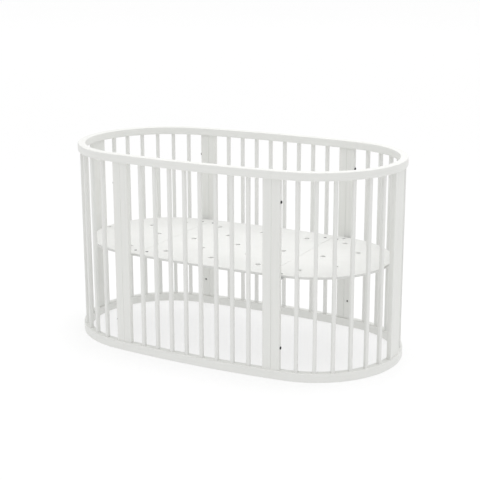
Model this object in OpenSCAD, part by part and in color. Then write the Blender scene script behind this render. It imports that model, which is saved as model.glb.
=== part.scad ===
// Baby crib with an oval plan of four arcs that run smoothly into each other: two
// curved end sections, two slightly bowed side sections, and a three-panel mattress
// base that lifts off four brackets.
// X runs along the crib, Y across it, Z up. The origin is on the floor, in the middle.

/* [Crib] */
// Half the length of the crib, to the middle of the rails
half_l = 665; // [555:5:800]
// Half the width of the crib, to the middle of the rails
half_w = 350; // [290:5:420]
// Radius of the slightly bowed sides
side_r = 3600; // [3000:50:6000]
// Distance from the crib's middle to the seams between side and end sections
seam_x = 321; // [270:1:345]
// Height from the floor to the top of the top rail
crib_h = 780; // [650:2:940]

/* [Rails] */
// Width of the top rail
top_rail_w = 30; // [28:1:44]
// Height of the top rail
top_rail_h = 31; // [28:1:44]
// Rounding along the upper edges of the top rail
top_rail_round = 3.5; // [2:0.5:12]
// Width of the bottom rail
bottom_rail_w = 30; // [28:1:44]
// Height of the bottom rail
bottom_rail_h = 34; // [28:1:46]
// Small rounding along every other rail edge
rail_ease = 3; // [1:0.5:6]

/* [Boards] */
// Width of the board on each side of a seam
half_board_w = 34; // [28:1:42]
// Width of the board in the middle of a round end
centre_board_w = 84; // [50:1:100]
// Thickness of every board
board_t = 18; // [16:0.5:24]
// Rounding of the free upright edges of the boards
board_round = 3; // [1:0.5:6]
// Rounding of the edges where two boards meet at a seam
seam_round = 2; // [0.5:0.5:3]

/* [Slats] */
// Slats in a side section
side_slats = 8; // [6:1:9]
// Slats between a seam board and the centre board
quarter_slats = 6; // [4:1:7]
// Slat width along the rail
slat_w = 14.5; // [12:0.5:20]
// Slat depth across the rail
slat_d = 16; // [14:0.5:22]
// Rounding of the slat edges
slat_round = 4.5; // [1:0.5:5.5]
// Diameter of the round tenon on each slat end
tenon_d = 10; // [8:0.5:11]
// Length of the tenon
tenon_l = 15; // [8:1:18]

/* [Mattress base] */
// Thickness of the base panels
base_t = 9; // [6:0.5:14]
// Gap between the base and the inner face of the top rail
base_gap = 18; // [10:1:24]
// Gap between two base panels
panel_gap = 1; // [0.5:0.5:3]
// Distance of a panel seam from the seam between the sections
seam_inset = 33; // [28:1:45]
// Diameter of a ventilation hole
vent_d = 22; // [14:1:28]
// Distance between neighbouring columns of ventilation holes
vent_step_x = 101; // [85:1:110]
// Distance between neighbouring rows of ventilation holes
vent_step_y = 107; // [80:1:115]
// Distance of an end panel's first column from the panel seam
vent_first = 82; // [65:1:90]
// Diameter of the single hole near a round end
end_hole_d = 14; // [8:1:16]
// Distance of that hole from the middle of the rail
end_hole_inset = 50; // [46:1:60]

/* [Base levels] */
// Number of heights that the base can be set to
level_count = 3; // [1:1:3]
// Height of the lowest insert
level_low = 109; // [90:1:112]
// Height from one level to the next
level_step = 125; // [90:1:130]

/* [Brackets] */
// Width of a bracket
bracket_w = 30; // [24:1:34]
// Thickness of the bracket steel
bracket_t = 2.5; // [2:0.5:4]
// Height of the leg that is bolted to the board
bracket_leg = 36; // [32:1:50]
// Reach of the flange, from the board to its free end
bracket_reach = 51; // [46:1:62]
// Height of the flange top above the bolt
bracket_rise = 19; // [14:1:22]
// Diameter of the locating pin
pin_d = 8; // [6:0.5:10]
// Height of the locating pin above the flange
pin_rise = 5; // [3:0.5:6]
// Diameter of the base's hole that slips over a pin
pin_hole_d = 14; // [12:0.5:16]
// Distance of the pin from the flange's free end
pin_inset = 10; // [7:0.5:13]
// Width of a joint plate
plate_w = 26; // [20:1:34]
// Length of a joint plate
plate_l = 76; // [60:1:80]
// Thickness of a joint plate
plate_t = 3; // [2:0.5:4]
// Distance of a joint plate's screws from the panel seam
plate_screw_x = 26; // [18:1:30]

/* [Fasteners] */
// Shank diameter of the section bolts and the bracket bolts
bolt_d = 6; // [5:1:8]
// Head diameter of the same bolts
bolt_head_d = 11; // [9:0.5:14]
// Head height of the same bolts
bolt_head_h = 6; // [3:0.5:8]
// Depth of the pocket in the board edge that a section bolt's head sits in
pocket_depth = 3; // [2:0.5:6]
// Height of the lower section bolts
bolt_low = 120; // [115:1:150]
// Depth of the upper section bolts below the crib's top
bolt_drop = 114; // [95:1:140]
// Outer diameter of the threaded inserts
insert_d = 9; // [8:0.5:12]
// Length of an insert in the inner face of a board
insert_l = 13; // [8:0.5:14]
// Length of an insert in the seam face of a side board
seam_insert_l = 20; // [14:1:26]
// Shank diameter of the joint plate screws
screw_d = 5; // [4:0.5:6]
// Diameter of the wooden dowels
dowel_d = 8; // [6:0.5:8]
// Length of the dowels between board and rail
board_dowel_l = 22; // [16:1:22]
// Length of the dowels between two rails
rail_dowel_l = 44; // [30:1:60]
// Sideways distance of the rail dowels from the rail's middle
rail_dowel_y = 8; // [7:0.5:8]

/* [Hidden] */
$fn = 48;

// Play round every fastener, dowel and tenon, so that no two solids overlap
play = 0.1;
// The base stands this hair's breadth above the flanges, so that no two solids overlap
rest_play = 0.01;
// Depth by which a cut runs past the surface that it opens
cut = 1;
// The short side arcs of an end rail are thinner by this, so that they run cleanly into it
arc_step = 0.05;
// Space between a joint plate and the end of a bracket's flange
plate_space = 1;
// A bracket bolt's head is this thin, so that it stays out of the base's way
button_h = 3.5;
// Distance of a screw head's edge from the shank, all round
screw_rim = 3.5;
// Rivet head under the flange, at the foot of a locating pin
rivet_h = 1.5;
rivet_rim = 1.5;
// Key pocket in the head of a bolt or a screw
key_d = 4;
key_depth = 2;

rail_bottom = crib_h - top_rail_h;
post_h = rail_bottom - bottom_rail_h;
board_in = -board_t / 2;
bolt_heights = [bolt_low, crib_h - bolt_drop];
dowel_offset = half_board_w / 4;

// The middle line of the rails: a side arc of radius side_r runs into an end arc of
// radius end_r, whose middle is end_c from the crib's middle. Angles count from +Y.
end_r = (2 * side_r * half_w - half_w ^ 2 - half_l ^ 2) / (2 * (side_r - half_l));
end_c = half_l - end_r;
turn_a = asin(end_c / (side_r - end_r));
seam_a = asin(seam_x / side_r);
seam_y = half_w - side_r + side_r * cos(seam_a);
function arc_len(r, a) = r * a * PI / 180;
function arc_angle(r, l) = l / r * 180 / PI;
side_half = arc_len(side_r, seam_a);
stub_l = arc_len(side_r, turn_a - seam_a);
quarter_l = stub_l + arc_len(end_r, 90 - turn_a);

// Slats are spread so that every gap in a run is the same
side_clear = 2 * (side_half - half_board_w);
side_gap = (side_clear - side_slats * slat_w) / (side_slats + 1);
quarter_clear = quarter_l - half_board_w - centre_board_w / 2;
quarter_gap = (quarter_clear - quarter_slats * slat_w) / (quarter_slats + 1);
function slat_place(i, gap) = gap * (i + 1) + slat_w * (i + 0.5);

// The base stands on the brackets, which are bolted at the highest level
level_heights = [for (i = [0 : level_count - 1]) level_low + i * level_step];
bracket_z = level_heights[level_count - 1];
base_z = bracket_z + bracket_rise;
flange_top = base_z - rest_play;
base_inset = top_rail_w / 2 + base_gap;
// Rounded, so that the straight cuts on both sides of it meet on one line exactly
base_turn_x = round(100 * (end_c + (end_r - base_inset) * sin(turn_a))) / 100;
panel_seam_x = seam_x - seam_inset;
flange_end = board_in - bracket_reach;
pin_y = flange_end + pin_inset;
flange_corner_y = seam_y + flange_end * cos(seam_a)
    - (half_board_w / 2 + bracket_w / 2) * sin(seam_a);
plate_y = flange_corner_y - plate_space - plate_w / 2;

// Puts something made for the right back quarter into any quarter of the crib
module to_quarter(sx, sy) {
    mirror([sx < 0 ? 1 : 0, 0, 0])
        mirror([0, sy < 0 ? 1 : 0, 0])
            children();
}

module each_quarter() {
    for (sx = [-1, 1], sy = [-1, 1])
        to_quarter(sx, sy)
            children();
}

// Puts something on the middle line of the back rail, at a distance s from the crib's
// middle: its +X then points along the rail and its +Y outwards
module on_side_line(s) {
    translate([0, half_w - side_r, 0])
        rotate([0, 0, -arc_angle(side_r, s)])
            translate([0, side_r, 0])
                children();
}

// The same at the right end's arc, at an angle a from +Y
module on_end_arc(a) {
    translate([end_c, 0, 0])
        rotate([0, 0, -a])
            translate([0, end_r, 0])
                children();
}

// The same on the right end section, at a distance s from its back seam
module on_end_line(s) {
    if (s < stub_l)
        on_side_line(side_half + s)
            children();
    else
        on_end_arc(turn_a + arc_angle(end_r, s - stub_l))
            children();
}

module at_seam() {
    on_side_line(side_half)
        children();
}

module to_end_middle() {
    on_end_arc(90)
        children();
}

// The four places of the brackets, with the middle of the end section's seam board at
// the origin
module at_brackets() {
    each_quarter()
        at_seam()
            translate([half_board_w / 2, 0, 0])
                children();
}

// A round bar along +X, starting at the origin
module bar_x(d, l) {
    rotate([0, 90, 0])
        cylinder(d = d, h = l);
}

// A round bar along +Y, starting at the origin
module bar_y(d, l) {
    rotate([-90, 0, 0])
        cylinder(d = d, h = l);
}

/* ---------- Rails ---------- */

// Outline of a rail: flat faces, one rounding on the upper edges and one on the lower
module rail_outline(w, h, r_top, r_low) {
    translate([-w / 2, r_low])
        square([w, h - r_top - r_low]);
    translate([-w / 2 + r_top, h - r_top])
        square([w - 2 * r_top, r_top]);
    translate([-w / 2 + r_low, 0])
        square([w - 2 * r_low, r_low]);
    for (s = [-1, 1]) {
        translate([s * (w / 2 - r_top), h - r_top])
            circle(r = r_top);
        translate([s * (w / 2 - r_low), r_low])
            circle(r = r_low);
    }
}

module top_outline(less = 0) {
    translate([0, less])
        rail_outline(top_rail_w - 2 * less, top_rail_h - 2 * less, top_rail_round - less, rail_ease - less);
}

module bottom_outline(less = 0) {
    translate([0, less])
        rail_outline(bottom_rail_w - 2 * less, bottom_rail_h - 2 * less, rail_ease - less, rail_ease - less);
}

// Part of a side arc of the rails, between two angles from +Y towards +X
module side_arc(a1, a2) {
    translate([0, half_w - side_r, 0])
        rotate([0, 0, 90 - a2])
            rotate_extrude(angle = a2 - a1, $fn = 1440)
                translate([side_r, 0])
                    children();
}

// Curved rail of the right end: child 0 follows the end arc, and child 1 the short piece of
// side arc before and after it, ending a little way inside child 0
module round_rail() {
    translate([end_c, 0, 0])
        rotate([0, 0, turn_a - 90])
            rotate_extrude(angle = 180 - 2 * turn_a, $fn = 144)
                translate([end_r, 0])
                    children(0);
    for (sy = [-1, 1])
        to_quarter(1, sy)
            side_arc(seam_a, turn_a + arc_angle(side_r, cut))
                children(1);
}

// Blind holes for the two dowels that join rail to rail at a seam
module rail_dowel_holes(z) {
    at_seam()
        for (s = [-1, 1])
            translate([-rail_dowel_l / 2 - play, s * rail_dowel_y, z])
                bar_x(dowel_d + 2 * play, rail_dowel_l + 2 * play);
}

// Dowels or their holes for the two boards at a seam, in both rails at once
module half_board_dowels(d, l) {
    at_seam()
        for (side = [-1, 1], s = [-1, 1], z = [bottom_rail_h, rail_bottom])
            translate([side * half_board_w / 2 + s * dowel_offset, 0, z - l / 2])
                cylinder(d = d, h = l);
}

module centre_board_dowels(d, l) {
    to_end_middle()
        for (s = [-1, 1], z = [bottom_rail_h, rail_bottom])
            translate([s * centre_board_w / 4, 0, z - l / 2])
                cylinder(d = d, h = l);
}

// Places of the slats, in one quarter of a round end and in the back side section
module at_quarter_slats() {
    for (i = [0 : quarter_slats - 1])
        on_end_line(half_board_w + slat_place(i, quarter_gap))
            children();
}

module at_side_slats() {
    for (i = [0 : side_slats - 1])
        on_side_line(slat_place(i, side_gap) - side_clear / 2)
            children();
}

// Round mortise for a slat's tenon, in both rails at once
module mortises() {
    for (z = [bottom_rail_h, rail_bottom])
        translate([0, 0, z - tenon_l - play])
            cylinder(d = tenon_d + 2 * play, h = 2 * (tenon_l + play));
}

module end_rail_cuts(z) {
    for (sy = [-1, 1])
        to_quarter(1, sy) {
            at_quarter_slats()
                mortises();
            half_board_dowels(dowel_d + 2 * play, board_dowel_l + 2 * play);
            rail_dowel_holes(z);
        }
    centre_board_dowels(dowel_d + 2 * play, board_dowel_l + 2 * play);
}

module side_rail_cuts(z) {
    at_side_slats()
        mortises();
    for (sx = [-1, 1])
        to_quarter(sx, 1) {
            half_board_dowels(dowel_d + 2 * play, board_dowel_l + 2 * play);
            rail_dowel_holes(z);
        }
}

module end_top_rail(sx) {
    color("whitesmoke")
        to_quarter(sx, 1)
            difference() {
                translate([0, 0, rail_bottom])
                    round_rail() {
                        top_outline();
                        top_outline(arc_step);
                    }
                end_rail_cuts(rail_bottom + top_rail_h / 2);
            }
}

module end_bottom_rail(sx) {
    color("whitesmoke")
        to_quarter(sx, 1)
            difference() {
                round_rail() {
                    bottom_outline();
                    bottom_outline(arc_step);
                }
                end_rail_cuts(bottom_rail_h / 2);
            }
}

module side_top_rail(sy) {
    color("whitesmoke")
        to_quarter(1, sy)
            difference() {
                translate([0, 0, rail_bottom])
                    side_arc(-seam_a, seam_a)
                        top_outline();
                side_rail_cuts(rail_bottom + top_rail_h / 2);
            }
}

module side_bottom_rail(sy) {
    color("whitesmoke")
        to_quarter(1, sy)
            difference() {
                side_arc(-seam_a, seam_a)
                    bottom_outline();
                side_rail_cuts(bottom_rail_h / 2);
            }
}

module left_top_rail() { end_top_rail(-1); }
module right_top_rail() { end_top_rail(1); }
module front_top_rail() { side_top_rail(-1); }
module back_top_rail() { side_top_rail(1); }
module left_bottom_rail() { end_bottom_rail(-1); }
module right_bottom_rail() { end_bottom_rail(1); }
module front_bottom_rail() { side_bottom_rail(-1); }
module back_bottom_rail() { side_bottom_rail(1); }

/* ---------- Boards ---------- */

// Flat board standing between the rails, from X = 0 to w, with its middle plane at
// Y = 0 and a rounding of its own on the upright edges at each side
module upright_board(w, low, high) {
    translate([0, 0, bottom_rail_h])
        linear_extrude(post_h) {
            translate([low, -board_t / 2])
                square([w - low - high, board_t]);
            translate([0, low - board_t / 2])
                square([low, board_t - 2 * low]);
            translate([w - high, high - board_t / 2])
                square([high, board_t - 2 * high]);
            for (s = [-1, 1]) {
                translate([low, s * (board_t / 2 - low)])
                    circle(r = low);
                translate([w - high, s * (board_t / 2 - high)])
                    circle(r = high);
            }
        }
}

// Holes for the threaded inserts of one column of levels
module level_holes() {
    for (z = level_heights)
        translate([0, board_in - cut, z])
            bar_y(insert_d + 2 * play, insert_l + play + cut);
}

// Seam board of the end section: level inserts inside, section bolts through its width
module end_board(sx, sy) {
    color("gainsboro")
        to_quarter(sx, sy)
            difference() {
                at_seam()
                    difference() {
                        upright_board(half_board_w, seam_round, board_round);
                        translate([half_board_w / 2, 0, 0])
                            level_holes();
                        for (z = bolt_heights) {
                            translate([-cut, 0, z])
                                bar_x(bolt_d + 2 * play, half_board_w + 2 * cut);
                            translate([half_board_w - pocket_depth, 0, z])
                                bar_x(bolt_head_d + 2 * play, pocket_depth + cut);
                        }
                    }
                half_board_dowels(dowel_d + 2 * play, board_dowel_l + 2 * play);
            }
}

// Seam board of the side section: a threaded insert in its seam face takes each bolt
module side_board(sx, sy) {
    color("gainsboro")
        to_quarter(sx, sy)
            difference() {
                at_seam()
                    difference() {
                        translate([-half_board_w, 0, 0])
                            upright_board(half_board_w, board_round, seam_round);
                        for (z = bolt_heights)
                            translate([-seam_insert_l - play, 0, z])
                                bar_x(insert_d + 2 * play, seam_insert_l + play + cut);
                    }
                half_board_dowels(dowel_d + 2 * play, board_dowel_l + 2 * play);
            }
}

module centre_board(sx) {
    color("gainsboro")
        to_quarter(sx, 1)
            difference() {
                to_end_middle()
                    translate([-centre_board_w / 2, 0, 0])
                        upright_board(centre_board_w, board_round, board_round);
                centre_board_dowels(dowel_d + 2 * play, board_dowel_l + 2 * play);
            }
}

module left_centre_board() { centre_board(-1); }
module right_centre_board() { centre_board(1); }
module left_front_end_board() { end_board(-1, -1); }
module left_back_end_board() { end_board(-1, 1); }
module right_front_end_board() { end_board(1, -1); }
module right_back_end_board() { end_board(1, 1); }
module front_left_side_board() { side_board(-1, -1); }
module front_right_side_board() { side_board(1, -1); }
module back_left_side_board() { side_board(-1, 1); }
module back_right_side_board() { side_board(1, 1); }

/* ---------- Slats ---------- */

// One slat with its two tenons, deep along Y
module slat() {
    translate([0, 0, bottom_rail_h])
        linear_extrude(post_h) {
            square([slat_w - 2 * slat_round, slat_d], center = true);
            square([slat_w, slat_d - 2 * slat_round], center = true);
            for (sx = [-1, 1], sy = [-1, 1])
                translate([sx * (slat_w / 2 - slat_round), sy * (slat_d / 2 - slat_round)])
                    circle(r = slat_round);
        }
    translate([0, 0, bottom_rail_h - tenon_l])
        cylinder(d = tenon_d, h = post_h + 2 * tenon_l);
}

module end_slats(sx, sy) {
    color("white")
        to_quarter(sx, sy)
            at_quarter_slats()
                slat();
}

module side_section_slats(sy) {
    color("white")
        to_quarter(1, sy)
            at_side_slats()
                slat();
}

module left_front_slats() { end_slats(-1, -1); }
module left_back_slats() { end_slats(-1, 1); }
module right_front_slats() { end_slats(1, -1); }
module right_back_slats() { end_slats(1, 1); }
module front_side_slats() { side_section_slats(-1); }
module back_side_slats() { side_section_slats(1); }

/* ---------- Mattress base ---------- */

// Outline of the whole base: the middle line of the rails, moved inwards all round
module base_outline() {
    intersection() {
        translate([0, half_w - side_r])
            circle(r = side_r - base_inset, $fn = 1440);
        translate([0, side_r - half_w])
            circle(r = side_r - base_inset, $fn = 1440);
        square([2 * base_turn_x, 2 * half_w], center = true);
    }
    for (s = [-1, 1])
        intersection() {
            translate([s * end_c, 0])
                circle(r = end_r - base_inset, $fn = 144);
            translate([s * (base_turn_x + half_l / 2), 0])
                square([half_l, 2 * half_w], center = true);
        }
}

// The part of the base between two places along X
module base_slab(x1, x2) {
    translate([0, 0, base_z])
        linear_extrude(base_t)
            intersection() {
                base_outline();
                translate([x1, -half_w])
                    square([x2 - x1, 2 * half_w]);
            }
}

module vents(places) {
    for (p = places)
        translate([p.x, p.y, base_z - cut])
            cylinder(d = vent_d, h = base_t + 2 * cut);
}

// Hole for one joint plate screw, opening into a cone for its flush head
module screw_hole(x) {
    translate([x, plate_y, base_z - cut])
        cylinder(d = screw_d + 2 * play, h = base_t + 2 * cut);
    translate([x, plate_y, base_z + base_t - screw_rim])
        cylinder(d1 = screw_d + 2 * play, d2 = screw_d + 2 * (screw_rim + play), h = screw_rim);
}

// Hole that slips over a locating pin
module pin_hole() {
    translate([0, pin_y, base_z - cut])
        cylinder(d = pin_hole_d, h = base_t + 2 * cut);
}

module end_panel(sx) {
    first = panel_seam_x + vent_first;
    color("ivory")
        to_quarter(sx, 1)
            difference() {
                base_slab(panel_seam_x + panel_gap / 2, half_l);
                vents([
                    for (s = [-2, 0, 2]) [first, s * vent_step_y],
                    for (s = [-1, 1]) [first + vent_step_x, s * vent_step_y]
                ]);
                translate([half_l - end_hole_inset, 0, base_z - cut])
                    cylinder(d = end_hole_d, h = base_t + 2 * cut);
                for (sy = [-1, 1])
                    to_quarter(1, sy) {
                        screw_hole(panel_seam_x + plate_screw_x);
                        at_seam()
                            translate([half_board_w / 2, 0, 0])
                                pin_hole();
                    }
            }
}

module left_base_panel() { end_panel(-1); }
module right_base_panel() { end_panel(1); }

module middle_base_panel() {
    color("ivory")
        difference() {
            base_slab(panel_gap / 2 - panel_seam_x, panel_seam_x - panel_gap / 2);
            vents([
                for (x = [-2, 0, 2], y = [-2, 0, 2]) [x * vent_step_x, y * vent_step_y],
                for (x = [-1, 1], y = [-1, 1]) [x * vent_step_x, y * vent_step_y]
            ]);
            each_quarter()
                screw_hole(panel_seam_x - plate_screw_x);
        }
}

// Steel plates under the seams that make one rigid base of the three panels
module base_joint_plates() {
    color("silver")
        each_quarter()
            difference() {
                translate([panel_seam_x - plate_l / 2, plate_y - plate_w / 2, base_z - plate_t])
                    cube([plate_l, plate_w, plate_t]);
                for (s = [-1, 1])
                    translate([panel_seam_x + s * plate_screw_x, plate_y, base_z - plate_t - cut])
                        cylinder(d = screw_d + 2 * play, h = plate_t + 2 * cut);
            }
}

// Countersunk screws, flush with the base's top and threaded into the plates
module base_joint_screws() {
    color("dimgray")
        each_quarter()
            for (s = [-1, 1])
                translate([panel_seam_x + s * plate_screw_x, plate_y, base_z + base_t])
                    difference() {
                        union() {
                            translate([0, 0, -base_t - plate_t])
                                cylinder(d = screw_d, h = base_t + plate_t);
                            translate([0, 0, -screw_rim])
                                cylinder(d1 = screw_d, d2 = screw_d + 2 * screw_rim, h = screw_rim);
                        }
                        translate([0, 0, -key_depth])
                            cylinder(d = key_d - 1, h = key_depth + cut);
                    }
}

/* ---------- Brackets and their fasteners ---------- */

// Steel angle on a board's inner face: leg down, flange inwards under the base
module bracket() {
    difference() {
        union() {
            translate([-bracket_w / 2, flange_end, flange_top - bracket_t])
                cube([bracket_w, bracket_reach, bracket_t]);
            translate([-bracket_w / 2, board_in - bracket_t, flange_top - bracket_leg])
                cube([bracket_w, bracket_t, bracket_leg]);
        }
        translate([0, board_in - bracket_t - cut, bracket_z])
            bar_y(bolt_d + 2 * play, bracket_t + 2 * cut);
        translate([0, pin_y, flange_top - bracket_t - cut])
            cylinder(d = pin_d + 2 * play, h = bracket_t + 2 * cut);
    }
}

module seam_brackets() {
    color("silver")
        at_brackets()
            bracket();
}

// Pin riveted in the flange, standing up into the hole of the base
module locating_pin() {
    translate([0, pin_y, flange_top - bracket_t])
        cylinder(d = pin_d, h = bracket_t + pin_rise);
    translate([0, pin_y, flange_top - bracket_t - rivet_h])
        cylinder(d = pin_d + 2 * rivet_rim, h = rivet_h);
}

module locating_pins() {
    color("gray")
        at_brackets()
            locating_pin();
}

// Flat-headed bolt from inside the crib, through the bracket into the insert
module bracket_bolt() {
    translate([0, board_in - bracket_t, bracket_z])
        difference() {
            union() {
                bar_y(bolt_d, bracket_t + insert_l - 1);
                translate([0, -button_h, 0])
                    bar_y(bolt_head_d, button_h);
            }
            translate([0, -button_h - cut, 0])
                bar_y(key_d, key_depth + cut);
        }
}

module bracket_bolts() {
    color("dimgray")
        at_brackets()
            bracket_bolt();
}

// One column of inserts, flush with the board's inner face
module insert_column() {
    for (z = level_heights)
        translate([0, board_in, z])
            difference() {
                bar_y(insert_d, insert_l);
                translate([0, -cut, 0])
                    bar_y(bolt_d + 2 * play, insert_l + 2 * cut);
            }
}

module level_inserts() {
    color("goldenrod")
        at_brackets()
            insert_column();
}

/* ---------- Fasteners between the sections ---------- */

module section_bolts() {
    shank = half_board_w - pocket_depth + seam_insert_l - 1;
    color("dimgray")
        each_quarter()
            at_seam()
                for (z = bolt_heights)
                    translate([half_board_w - pocket_depth, 0, z])
                        difference() {
                            union() {
                                translate([-shank, 0, 0])
                                    bar_x(bolt_d, shank);
                                bar_x(bolt_head_d, bolt_head_h);
                            }
                            translate([bolt_head_h - key_depth, 0, 0])
                                bar_x(key_d, key_depth + cut);
                        }
}

module section_inserts() {
    color("goldenrod")
        each_quarter()
            at_seam()
                for (z = bolt_heights)
                    translate([-seam_insert_l, 0, z])
                        difference() {
                            bar_x(insert_d, seam_insert_l);
                            translate([-cut, 0, 0])
                                bar_x(bolt_d + 2 * play, seam_insert_l + 2 * cut);
                        }
}

// Two dowels at each seam of each rail
module rail_dowels() {
    color("burlywood")
        each_quarter()
            at_seam()
                for (z = [bottom_rail_h / 2, rail_bottom + top_rail_h / 2], s = [-1, 1])
                    translate([-rail_dowel_l / 2, s * rail_dowel_y, z])
                        bar_x(dowel_d, rail_dowel_l);
}

// Two dowels at each end of every board
module board_dowels() {
    color("burlywood")
        union() {
            each_quarter()
                half_board_dowels(dowel_d, board_dowel_l);
            for (sx = [-1, 1])
                to_quarter(sx, 1)
                    centre_board_dowels(dowel_d, board_dowel_l);
        }
}

left_top_rail();
right_top_rail();
front_top_rail();
back_top_rail();
left_bottom_rail();
right_bottom_rail();
front_bottom_rail();
back_bottom_rail();
left_centre_board();
right_centre_board();
left_front_end_board();
left_back_end_board();
right_front_end_board();
right_back_end_board();
front_left_side_board();
front_right_side_board();
back_left_side_board();
back_right_side_board();
left_front_slats();
left_back_slats();
right_front_slats();
right_back_slats();
front_side_slats();
back_side_slats();
left_base_panel();
middle_base_panel();
right_base_panel();
base_joint_plates();
base_joint_screws();
seam_brackets();
locating_pins();
bracket_bolts();
level_inserts();
section_bolts();
section_inserts();
rail_dowels();
board_dowels();
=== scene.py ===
from math import asin, atan2, cos, hypot, pi, radians, sin

import bmesh
import bpy
from mathutils import Matrix, Vector


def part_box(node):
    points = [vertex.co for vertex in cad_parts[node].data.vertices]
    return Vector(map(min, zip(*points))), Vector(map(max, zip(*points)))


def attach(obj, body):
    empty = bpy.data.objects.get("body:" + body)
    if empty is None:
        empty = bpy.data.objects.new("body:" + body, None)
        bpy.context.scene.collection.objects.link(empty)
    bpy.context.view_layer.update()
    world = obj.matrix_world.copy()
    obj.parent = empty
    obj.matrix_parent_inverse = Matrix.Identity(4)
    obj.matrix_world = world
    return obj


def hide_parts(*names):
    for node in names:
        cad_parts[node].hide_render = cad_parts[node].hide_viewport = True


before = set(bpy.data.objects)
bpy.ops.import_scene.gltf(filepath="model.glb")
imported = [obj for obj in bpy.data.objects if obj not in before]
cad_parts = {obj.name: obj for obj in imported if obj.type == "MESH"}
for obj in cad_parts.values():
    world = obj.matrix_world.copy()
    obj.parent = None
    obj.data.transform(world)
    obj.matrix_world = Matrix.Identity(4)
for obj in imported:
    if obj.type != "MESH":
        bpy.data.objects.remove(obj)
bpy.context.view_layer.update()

# ---- Top rails ---------------------------------------------------------------------
# Four bent rails close into one oval: a long flat arc along each side, a tight one round
# each end. They are laminated beech with rounded edges, sprayed white; the joints between
# them are tight, and show only as a hairline where both ends are slightly broken.

rail_width = 0.030
side_radius = 3.6
side_low, side_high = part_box("back_top_rail")
half_width = side_high.y - rail_width / 2
half_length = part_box("right_top_rail")[1].x - rail_width / 2
end_radius = (2 * side_radius * half_width - half_width ** 2 - half_length ** 2) / (
    2 * (side_radius - half_length)
)
end_centre = half_length - end_radius
turn_angle = asin(end_centre / (side_radius - end_radius))
seam_angle = asin(side_high.x / (side_radius + rail_width / 2))
top_rail_z = side_low.z
crib_height = side_high.z

back_middle = Vector((0, half_width - side_radius, 0))
end_middle = Vector((end_centre, 0, 0))
stub_angle = turn_angle - seam_angle
rail_corner_steps = 5
stub_steps = 4
end_steps = 120
side_steps = 48
seam_easing = 0.0005
weld_reach = 1e-6
edge_steps = 2
smooth_below = radians(40)


def rail_section(bm, low, high, rounding, angle):
    """One face with rounded corners, standing across the back side's arc at an angle."""
    height = high - low
    made = bmesh.ops.create_grid(bm, x_segments=1, y_segments=1, size=0.5)
    section = made["verts"]
    bmesh.ops.scale(bm, vec=(rail_width, height, 1), verts=section)
    bmesh.ops.bevel(
        bm, geom=section, offset=rounding, segments=rail_corner_steps, profile=0.5,
        affect="VERTICES", material=-1, clamp_overlap=True,
    )
    outwards = Vector((sin(angle), cos(angle), 0))
    upwards = Vector((0, 0, 1))
    along = outwards.cross(upwards)
    place = Matrix((outwards, upwards, along)).transposed().to_4x4()
    place.translation = back_middle + outwards * side_radius + upwards * (low + height / 2)
    bmesh.ops.transform(bm, matrix=place, verts=bm.verts)


def sweep(bm, last, middle, turn, steps):
    """Carries the section on round a middle, clockwise seen from above."""
    made = bmesh.ops.spin(
        bm, geom=last, cent=middle, axis=(0, 0, 1), angle=-turn, steps=steps, dvec=(0, 0, 0)
    )
    return made["geom_last"]


def distance_along(x, y):
    """How far round the oval a point lies, from the nearest middle of a side or an end."""
    turned = atan2(x, abs(y) - half_width + side_radius)
    if abs(turned) < turn_angle:
        return side_radius * turned
    return end_radius * atan2(y, abs(x) - end_centre)


def distance_out(x, y):
    """How far a point lies outside the oval's middle line."""
    beyond = abs(y) - half_width + side_radius
    if atan2(abs(x), beyond) < turn_angle:
        return hypot(x, beyond) - side_radius
    return hypot(abs(x) - end_centre, y) - end_radius


def lay_grain_along(bm):
    """A map whose first direction follows the bend, so that grain and finish do too."""
    grain = bm.loops.layers.uv.new("grain")
    for face in bm.faces:
        for loop in face.loops:
            x, y, z = loop.vert.co
            loop[grain].uv = (distance_along(x, y), distance_out(x, y) + z)


def break_edges(bm, edges, width):
    bmesh.ops.bevel(
        bm, geom=edges, offset=width, offset_type="OFFSET", segments=edge_steps, profile=0.5,
        affect="EDGES", material=-1, clamp_overlap=True,
    )


def as_piece(bm, name, material, body, replaced):
    """Finishes a mesh as one piece of the crib, smooth except at true corners."""
    mesh = bpy.data.meshes.new(name)
    bm.to_mesh(mesh)
    bm.free()
    mesh.shade_smooth()
    mesh.set_sharp_from_angle(angle=smooth_below)
    mesh.materials.append(material)
    piece = bpy.data.objects.new(name, mesh)
    bpy.context.scene.collection.objects.link(piece)
    weighted = piece.modifiers.new("flat faces stay flat", "WEIGHTED_NORMAL")
    weighted.keep_sharp = True
    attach(piece, body)
    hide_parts(*replaced)


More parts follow.
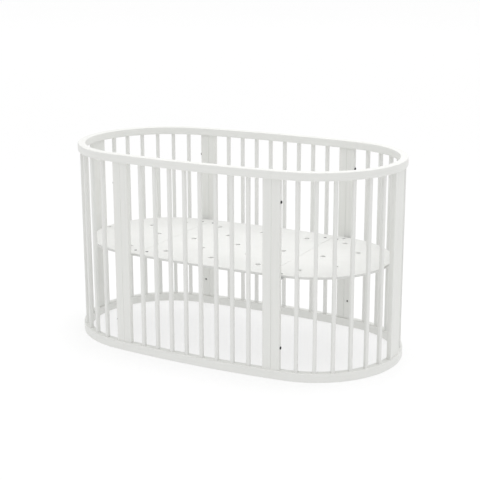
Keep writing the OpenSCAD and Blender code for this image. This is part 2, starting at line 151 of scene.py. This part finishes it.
def sprayed_paint(name, paint, thin_paint, gloss, grain_scale, grain_depth, follows_bend=False):
    """White lacquer over wood: faint grain, a fine sprayed texture, and edges where the
    coat is a little thinner and rubbed smoother."""
    material = bpy.data.materials.new(name)
    material.use_nodes = True
    nodes = material.node_tree.nodes
    link = material.node_tree.links.new
    shader = nodes["Principled BSDF"]
    shader.inputs["Specular IOR Level"].default_value = 0.45

    if follows_bend:
        place = nodes.new("ShaderNodeUVMap")
        place.uv_map = "grain"
        where = place.outputs["UV"]
    else:
        place = nodes.new("ShaderNodeTexCoord")
        where = place.outputs["Object"]

    stretch = nodes.new("ShaderNodeMapping")
    stretch.inputs["Scale"].default_value = grain_scale
    link(where, stretch.inputs["Vector"])
    grain = nodes.new("ShaderNodeTexNoise")
    grain.inputs["Scale"].default_value = 1.0
    grain.inputs["Detail"].default_value = 7.0
    grain.inputs["Roughness"].default_value = 0.62
    grain.inputs["Distortion"].default_value = 0.35
    link(stretch.outputs["Vector"], grain.inputs["Vector"])

    solid = nodes.new("ShaderNodeTexCoord")
    cloud = nodes.new("ShaderNodeTexNoise")
    cloud.inputs["Scale"].default_value = 7.0
    cloud.inputs["Detail"].default_value = 3.0
    link(solid.outputs["Object"], cloud.inputs["Vector"])
    spray = nodes.new("ShaderNodeTexNoise")
    spray.inputs["Scale"].default_value = 950.0
    spray.inputs["Detail"].default_value = 2.0
    link(solid.outputs["Object"], spray.inputs["Vector"])

    # Edge mask: the rounded normal leaves the true one only near an edge
    soft_edge = nodes.new("ShaderNodeBevel")
    soft_edge.samples = 6
    soft_edge.inputs["Radius"].default_value = 0.0018
    true_face = nodes.new("ShaderNodeNewGeometry")
    likeness = nodes.new("ShaderNodeVectorMath")
    likeness.operation = "DOT_PRODUCT"
    link(soft_edge.outputs["Normal"], likeness.inputs[0])
    link(true_face.outputs["Normal"], likeness.inputs[1])
    edge = nodes.new("ShaderNodeMapRange")
    edge.inputs["From Min"].default_value = 0.995
    edge.inputs["From Max"].default_value = 0.86
    link(likeness.outputs["Value"], edge.inputs["Value"])
    worn = nodes.new("ShaderNodeMath")
    worn.operation = "MULTIPLY"
    link(edge.outputs["Result"], worn.inputs[0])
    link(grain.outputs["Fac"], worn.inputs[1])

    shades = nodes.new("ShaderNodeValToRGB")
    shades.color_ramp.elements[0].position = 0.30
    shades.color_ramp.elements[0].color = (*[c * 0.965 for c in paint], 1)
    shades.color_ramp.elements[1].position = 0.62
    shades.color_ramp.elements[1].color = (*paint, 1)
    link(grain.outputs["Fac"], shades.inputs["Fac"])
    tone = nodes.new("ShaderNodeMix")
    tone.data_type = "RGBA"
    tone.blend_type = "MULTIPLY"
    tone.inputs["B"].default_value = (0.985, 0.986, 0.982, 1)
    link(cloud.outputs["Fac"], tone.inputs["Factor"])
    link(shades.outputs["Color"], tone.inputs["A"])
    coat = nodes.new("ShaderNodeMix")
    coat.data_type = "RGBA"
    coat.inputs["B"].default_value = (*thin_paint, 1)
    link(worn.outputs["Value"], coat.inputs["Factor"])
    link(tone.outputs["Result"], coat.inputs["A"])
    link(coat.outputs["Result"], shader.inputs["Base Color"])

    gloss_range = nodes.new("ShaderNodeMapRange")
    gloss_range.inputs["From Min"].default_value = 0.3
    gloss_range.inputs["From Max"].default_value = 0.7
    gloss_range.inputs["To Min"].default_value = gloss - 0.05
    gloss_range.inputs["To Max"].default_value = gloss + 0.06
    link(cloud.outputs["Fac"], gloss_range.inputs["Value"])
    rubbed = nodes.new("ShaderNodeMath")
    rubbed.operation = "MULTIPLY_ADD"
    rubbed.inputs[1].default_value = -0.12
    link(worn.outputs["Value"], rubbed.inputs[0])
    link(gloss_range.outputs["Result"], rubbed.inputs[2])
    link(rubbed.outputs["Value"], shader.inputs["Roughness"])

    fine = nodes.new("ShaderNodeBump")
    fine.inputs["Strength"].default_value = 0.25
    fine.inputs["Distance"].default_value = 0.00004
    link(spray.outputs["Fac"], fine.inputs["Height"])
    raised = nodes.new("ShaderNodeBump")
    raised.inputs["Strength"].default_value = 0.5
    raised.inputs["Distance"].default_value = grain_depth
    link(grain.outputs["Fac"], raised.inputs["Height"])
    link(fine.outputs["Normal"], raised.inputs["Normal"])
    link(raised.outputs["Normal"], shader.inputs["Normal"])
    return material


rail_paint = sprayed_paint(
    "rail paint", paint=(0.805, 0.808, 0.786), thin_paint=(0.77, 0.76, 0.735), gloss=0.42,
    grain_scale=(5.0, 190.0, 1.0), grain_depth=0.00012, follows_bend=True,
)


def bent_rail(name, low, high, rounding, start, bends, turn):
    """One rail, swept bend by bend along the back side or round the right end, then turned
    about the middle to its own place."""
    bm = bmesh.new()
    rail_section(bm, low, high, rounding, start)
    last = bm.verts[:] + bm.edges[:] + bm.faces[:]
    for middle, bend, steps in bends:
        last = sweep(bm, last, middle, bend, steps)
    bmesh.ops.remove_doubles(bm, verts=bm.verts, dist=weld_reach)
    bmesh.ops.recalc_face_normals(bm, faces=bm.faces)
    seam_faces = [f for f in bm.faces if len(f.verts) > 4]
    break_edges(bm, list(dict.fromkeys(e for f in seam_faces for e in f.edges)), seam_easing)
    bmesh.ops.rotate(bm, cent=(0, 0, 0), matrix=Matrix.Rotation(turn, 3, "Z"), verts=bm.verts)
    lay_grain_along(bm)
    as_piece(bm, name + "_painted", rail_paint, "crib_frame", [name])


def ring_of_rails(level, low, high, rounding):
    """The two end rails and the two side rails that close into one oval."""
    end_bends = [
        (back_middle, stub_angle, stub_steps),
        (end_middle, pi - 2 * turn_angle, end_steps),
        (-back_middle, stub_angle, stub_steps),
    ]
    for side, turn in (("left", pi), ("right", 0)):
        bent_rail(f"{side}_{level}_rail", low, high, rounding, seam_angle, end_bends, turn)
    side_bends = [(back_middle, 2 * seam_angle, side_steps)]
    for side, turn in (("front", pi), ("back", 0)):
        bent_rail(f"{side}_{level}_rail", low, high, rounding, -seam_angle, side_bends, turn)


top_rounding = 0.0035
ring_of_rails("top", top_rail_z, crib_height, top_rounding)

# ---- Bottom rails ------------------------------------------------------------------
# Four more bent beech rails on the same line stand flat on the floor. They are square
# with small roundings, and painted like the top rails.

foot_low, foot_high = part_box("back_bottom_rail")
foot_rounding = 0.003
ring_of_rails("bottom", foot_low.z, foot_high.z, foot_rounding)

# ---- Slats -------------------------------------------------------------------------
# Forty turned-edge beech slats, each tenoned into the rail below and the rail above.
# Their long edges are well rounded, and the paint gathers in a thin fillet at each end.

slat_width = 0.0145
slat_depth = 0.016
slat_rounding = 0.0045
slat_corner_steps = 6
fillet_height = 0.0016
fillet_reach = 0.0006
side_slats = 8
quarter_slats = 6
seam_board_width = 0.034
centre_board_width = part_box("right_centre_board")[1].y * 2
slat_low = foot_high.z
slat_high = top_rail_z

slat_paint = sprayed_paint(
    "slat paint", paint=(0.80, 0.804, 0.785), thin_paint=(0.765, 0.755, 0.73), gloss=0.40,
    grain_scale=(150.0, 150.0, 4.0), grain_depth=0.0001,
)


def one_slat():
    bm = bmesh.new()
    bmesh.ops.create_cube(bm, size=1)
    bmesh.ops.scale(bm, vec=(slat_width, slat_depth, slat_high - slat_low), verts=bm.verts)
    upright = [e for e in bm.edges if abs(e.verts[0].co.z - e.verts[1].co.z) > slat_rounding]
    bmesh.ops.bevel(
        bm, geom=upright, offset=slat_rounding, segments=slat_corner_steps, profile=0.5,
        affect="EDGES", material=-1, clamp_overlap=True,
    )
    reach = (slat_high - slat_low) / 2
    for end in (-1, 1):
        bmesh.ops.bisect_plane(
            bm, geom=bm.verts[:] + bm.edges[:] + bm.faces[:],
            plane_co=(0, 0, end * (reach - fillet_height)), plane_no=(0, 0, 1),
        )
    foot = [v for v in bm.verts if abs(v.co.z) > reach - fillet_height / 2]
    wider = (slat_width + 2 * fillet_reach) / slat_width
    deeper = (slat_depth + 2 * fillet_reach) / slat_depth
    bmesh.ops.scale(bm, vec=(wider, deeper, 1), verts=foot)
    bmesh.ops.translate(bm, vec=(0, 0, (slat_low + slat_high) / 2), verts=bm.verts)
    mesh = bpy.data.meshes.new("one slat")
    bm.to_mesh(mesh)
    bm.free()
    return mesh


def on_side(distance):
    """Place on the back side's middle line, at a distance along it from the middle."""
    turn = Matrix.Rotation(-distance / side_radius, 4, "Z")
    return Matrix.Translation(back_middle) @ turn @ Matrix.Translation((0, side_radius, 0))


def on_end(angle):
    """Place on the right end's middle line, at an angle from the back."""
    turn = Matrix.Rotation(-angle, 4, "Z")
    return Matrix.Translation(end_middle) @ turn @ Matrix.Translation((0, end_radius, 0))


def slat_places(clear, count):
    """Distances of the slats' middles from the start of a run, with every gap alike."""
    gap = (clear - count * slat_width) / (count + 1)
    return [gap * (i + 1) + slat_width * (i + 0.5) for i in range(count)]


def slat_group(name, places, mirror):
    slat = one_slat()
    bm = bmesh.new()
    for place in places:
        before = len(bm.verts)
        bm.from_mesh(slat)
        bm.verts.ensure_lookup_table()
        bmesh.ops.transform(bm, matrix=place, verts=bm.verts[before:])
    bmesh.ops.scale(bm, vec=mirror, verts=bm.verts)
    bmesh.ops.recalc_face_normals(bm, faces=bm.faces)
    bpy.data.meshes.remove(slat)
    as_piece(bm, name + "_painted", slat_paint, "crib_frame", [name])


side_half = side_radius * seam_angle
side_clear = 2 * (side_half - seam_board_width)
side_places = [on_side(s - side_clear / 2) for s in slat_places(side_clear, side_slats)]
slat_group("back_side_slats", side_places, (1, 1, 1))
slat_group("front_side_slats", side_places, (1, -1, 1))

stub = side_radius * stub_angle
quarter = stub + end_radius * (pi / 2 - turn_angle)
quarter_clear = quarter - seam_board_width - centre_board_width / 2
quarter_places = [
    on_end(turn_angle + (seam_board_width + s - stub) / end_radius)
    for s in slat_places(quarter_clear, quarter_slats)
]
slat_group("right_back_slats", quarter_places, (1, 1, 1))
slat_group("right_front_slats", quarter_places, (1, -1, 1))
slat_group("left_back_slats", quarter_places, (-1, 1, 1))
slat_group("left_front_slats", quarter_places, (-1, -1, 1))

# ---- Boards ------------------------------------------------------------------------
# Flat beech boards stand in pairs at the four seams, one on each section, and a wide one
# in the middle of each end. The paired edges meet in a narrow groove; the end sections'
# boards carry the level inserts inside and the bolt pockets in their free edges.

board_paint = sprayed_paint(
    "board paint", paint=(0.80, 0.804, 0.78), thin_paint=(0.755, 0.745, 0.72), gloss=0.44,
    grain_scale=(120.0, 120.0, 3.0), grain_depth=0.00014,
)
flat_below = radians(0.4)
corner_above = radians(50)


def eased_copy(node, material, body, easing):
    """A part with the exact shape it was made with, its sharp edges softly broken."""
    bm = bmesh.new()
    bm.from_mesh(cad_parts[node].data)
    bmesh.ops.remove_doubles(bm, verts=bm.verts, dist=weld_reach)
    bmesh.ops.dissolve_limit(bm, angle_limit=flat_below, verts=bm.verts, edges=bm.edges)
    corners = [e for e in bm.edges if e.is_manifold and e.calc_face_angle() > corner_above]
    break_edges(bm, corners, easing)
    as_piece(bm, node + "_finished", material, body, [node])


for node in (
    "left_centre_board", "right_centre_board",
    "left_front_end_board", "left_back_end_board",
    "right_front_end_board", "right_back_end_board",
    "front_left_side_board", "front_right_side_board",
    "back_left_side_board", "back_right_side_board",
):
    eased_copy(node, board_paint, "crib_frame", easing=0.0004)

# ---- Mattress base -----------------------------------------------------------------
# Three fibreboard panels with a smooth white finish. Rows of round holes let the mattress
# breathe; their rims and the outer edges are slightly broken before painting.

panel_paint = sprayed_paint(
    "panel paint", paint=(0.76, 0.762, 0.746), thin_paint=(0.73, 0.725, 0.71), gloss=0.5,
    grain_scale=(9.0, 9.0, 9.0), grain_depth=0.00005,
)
for node in ("left_base_panel", "middle_base_panel", "right_base_panel"):
    eased_copy(node, panel_paint, "mattress_base", easing=0.0008)

# ---- Steel fittings ----------------------------------------------------------------
# Pressed angle brackets under the base, its joint plates, and the locating pins are mild
# steel, zinc plated and passivated, so they are pale, satin and slightly cloudy.


def plated_steel(name, colour, roughness):
    """Metal with a thin finish: satin, slightly cloudy, with very fine pits."""
    material = bpy.data.materials.new(name)
    material.use_nodes = True
    nodes = material.node_tree.nodes
    link = material.node_tree.links.new
    shader = nodes["Principled BSDF"]
    shader.inputs["Metallic"].default_value = 1.0
    place = nodes.new("ShaderNodeTexCoord")
    cloud = nodes.new("ShaderNodeTexNoise")
    cloud.inputs["Scale"].default_value = 160.0
    cloud.inputs["Detail"].default_value = 5.0
    link(place.outputs["Object"], cloud.inputs["Vector"])
    shades = nodes.new("ShaderNodeValToRGB")
    shades.color_ramp.elements[0].position = 0.35
    shades.color_ramp.elements[0].color = (*[c * 0.86 for c in colour], 1)
    shades.color_ramp.elements[1].position = 0.65
    shades.color_ramp.elements[1].color = (*colour, 1)
    link(cloud.outputs["Fac"], shades.inputs["Fac"])
    link(shades.outputs["Color"], shader.inputs["Base Color"])
    dull = nodes.new("ShaderNodeMapRange")
    dull.inputs["To Min"].default_value = roughness - 0.08
    dull.inputs["To Max"].default_value = roughness + 0.12
    link(cloud.outputs["Fac"], dull.inputs["Value"])
    link(dull.outputs["Result"], shader.inputs["Roughness"])
    pits = nodes.new("ShaderNodeBump")
    pits.inputs["Strength"].default_value = 0.3
    pits.inputs["Distance"].default_value = 0.00005
    link(cloud.outputs["Fac"], pits.inputs["Height"])
    link(pits.outputs["Normal"], shader.inputs["Normal"])
    return material


zinc = plated_steel("zinc plate", colour=(0.62, 0.63, 0.64), roughness=0.38)
eased_copy("seam_brackets", zinc, "crib_frame", easing=0.0005)
eased_copy("locating_pins", zinc, "crib_frame", easing=0.0006)
eased_copy("base_joint_plates", zinc, "mattress_base", easing=0.0004)

# ---- Bolts and screws --------------------------------------------------------------
# Black oxide socket bolts hold the sections together and the brackets to the boards, and
# countersunk screws of the same finish sit flush in the base.

black_oxide = plated_steel("black oxide", colour=(0.045, 0.045, 0.048), roughness=0.42)
eased_copy("section_bolts", black_oxide, "crib_frame", easing=0.0004)
eased_copy("bracket_bolts", black_oxide, "crib_frame", easing=0.0004)
eased_copy("base_joint_screws", black_oxide, "mattress_base", easing=0.0002)

# ---- Inserts and dowels ------------------------------------------------------------
# Threaded inserts of die-cast zinc are screwed into the boards, and beech dowels are glued
# between boards and rails; only the inserts' rims show once the crib is together.


def keep_shape(nodes, material):
    """Parts that keep the shape they were made with, in a material of their own."""
    for node in nodes:
        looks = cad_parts[node].data.materials
        looks.clear()
        looks.append(material)


cast_zinc = plated_steel("cast zinc", colour=(0.45, 0.45, 0.44), roughness=0.5)
keep_shape(("level_inserts", "section_inserts"), cast_zinc)


def bare_beech():
    """Unpainted beech with its short dark flecks along the dowel."""
    material = bpy.data.materials.new("bare beech")
    material.use_nodes = True
    nodes = material.node_tree.nodes
    link = material.node_tree.links.new
    shader = nodes["Principled BSDF"]
    place = nodes.new("ShaderNodeTexCoord")
    stretch = nodes.new("ShaderNodeMapping")
    stretch.inputs["Scale"].default_value = (420.0, 420.0, 30.0)
    link(place.outputs["Object"], stretch.inputs["Vector"])
    flecks = nodes.new("ShaderNodeTexNoise")
    flecks.inputs["Scale"].default_value = 1.0
    flecks.inputs["Detail"].default_value = 6.0
    link(stretch.outputs["Vector"], flecks.inputs["Vector"])
    shades = nodes.new("ShaderNodeValToRGB")
    shades.color_ramp.elements[0].position = 0.3
    shades.color_ramp.elements[0].color = (0.50, 0.33, 0.19, 1)
    shades.color_ramp.elements[1].position = 0.7
    shades.color_ramp.elements[1].color = (0.74, 0.57, 0.38, 1)
    link(flecks.outputs["Fac"], shades.inputs["Fac"])
    link(shades.outputs["Color"], shader.inputs["Base Color"])
    shader.inputs["Roughness"].default_value = 0.65
    fibres = nodes.new("ShaderNodeBump")
    fibres.inputs["Strength"].default_value = 0.4
    fibres.inputs["Distance"].default_value = 0.0001
    link(flecks.outputs["Fac"], fibres.inputs["Height"])
    link(fibres.outputs["Normal"], shader.inputs["Normal"])
    return material


keep_shape(("rail_dowels", "board_dowels"), bare_beech())

# ---- Floor, light and camera -------------------------------------------------------
# The crib stands on a white studio floor that glows a little and curves up into a wall
# far away, all round. The light is even: a white sky, large lamps above and behind it,
# and a square hood close over the crib.

floor_reach = 14.0
floor_sides = 96
floor_gap = 0.0004
wall_curve = 6.0
curve_steps = 12
bm = bmesh.new()
bmesh.ops.create_circle(bm, cap_ends=True, segments=floor_sides, radius=floor_reach)
rim = [e for e in bm.edges if e.is_boundary]
for step in range(1, curve_steps + 1):
    rise = pi / 2 * step / curve_steps
    risen = pi / 2 * (step - 1) / curve_steps
    wider = (floor_reach + wall_curve * sin(rise)) / (floor_reach + wall_curve * sin(risen))
    made = bmesh.ops.extrude_edge_only(bm, edges=rim)["geom"]
    ring = [v for v in made if isinstance(v, bmesh.types.BMVert)]
    rim = [e for e in made if isinstance(e, bmesh.types.BMEdge) and e.is_boundary]
    bmesh.ops.scale(bm, vec=(wider, wider, 1), verts=ring)
    lift = wall_curve * (cos(risen) - cos(rise))
    bmesh.ops.translate(bm, vec=(0, 0, lift), verts=ring)
bmesh.ops.translate(bm, vec=(0, 0, -floor_gap), verts=bm.verts)
bmesh.ops.recalc_face_normals(bm, faces=bm.faces)
floor_mesh = bpy.data.meshes.new("floor")
bm.to_mesh(floor_mesh)
bm.free()
floor_mesh.shade_smooth()
floor_white = bpy.data.materials.new("floor white")
floor_white.use_nodes = True
floor_shader = floor_white.node_tree.nodes["Principled BSDF"]
floor_shader.inputs["Base Color"].default_value = (0.36, 0.36, 0.36, 1)
floor_shader.inputs["Roughness"].default_value = 0.9
floor_shader.inputs["Specular IOR Level"].default_value = 0.1
floor_shader.inputs["Emission Color"].default_value = (1, 1, 1, 1)
floor_shader.inputs["Emission Strength"].default_value = 0.62
floor_mesh.materials.append(floor_white)
floor = bpy.data.objects.new("floor", floor_mesh)
bpy.context.scene.collection.objects.link(floor)

scene = bpy.context.scene
scene.view_settings.view_transform = "Standard"
world = bpy.data.worlds.new("white sky")
scene.world = world
world.use_nodes = True
sky = world.node_tree.nodes["Background"]
sky.inputs["Color"].default_value = (1, 1, 1, 1)
sky.inputs["Strength"].default_value = 0.62


def large_lamp(name, towards, energy, spread):
    """A lamp so large and far that its shadows are soft."""
    lamp_data = bpy.data.lights.new(name, "SUN")
    lamp_data.energy = energy
    lamp_data.angle = radians(spread)
    lamp = bpy.data.objects.new(name, lamp_data)
    lamp.rotation_euler = Vector(towards).to_track_quat("Z", "Y").to_euler()
    scene.collection.objects.link(lamp)


large_lamp("top lamp", towards=(0, 0, 1), energy=0.96, spread=60)
large_lamp("back lamp", towards=(0.1, 0.8, 0.8), energy=0.27, spread=70)

hood_data = bpy.data.lights.new("hood", "AREA")
hood_data.energy = 15
hood_data.shape = "SQUARE"
hood_data.size = 2.6
hood = bpy.data.objects.new("hood", hood_data)
hood.location = (0.2, 0.1, 2.4)
scene.collection.objects.link(hood)

camera_data = bpy.data.cameras.new("camera")
camera_data.lens = 87.28
camera_data.sensor_width = 36.0
camera_data.clip_end = 200
camera = bpy.data.objects.new("camera", camera_data)
view_turn = radians(28.45)
view_tilt = radians(14.92)
view_roll = radians(-0.18)
view_distance = 4.6189
aim_right = 0.00822
aim_height = 0.40539
aim = Vector((aim_right * cos(view_turn), aim_right * sin(view_turn), aim_height))
back = Vector((sin(view_turn) * cos(view_tilt), -cos(view_turn) * cos(view_tilt), sin(view_tilt)))
camera.location = aim + back * view_distance
camera.rotation_euler = (
    back.to_track_quat("Z", "Y").to_matrix() @ Matrix.Rotation(view_roll, 3, "Z")
).to_euler()
scene.collection.objects.link(camera)
scene.camera = camera
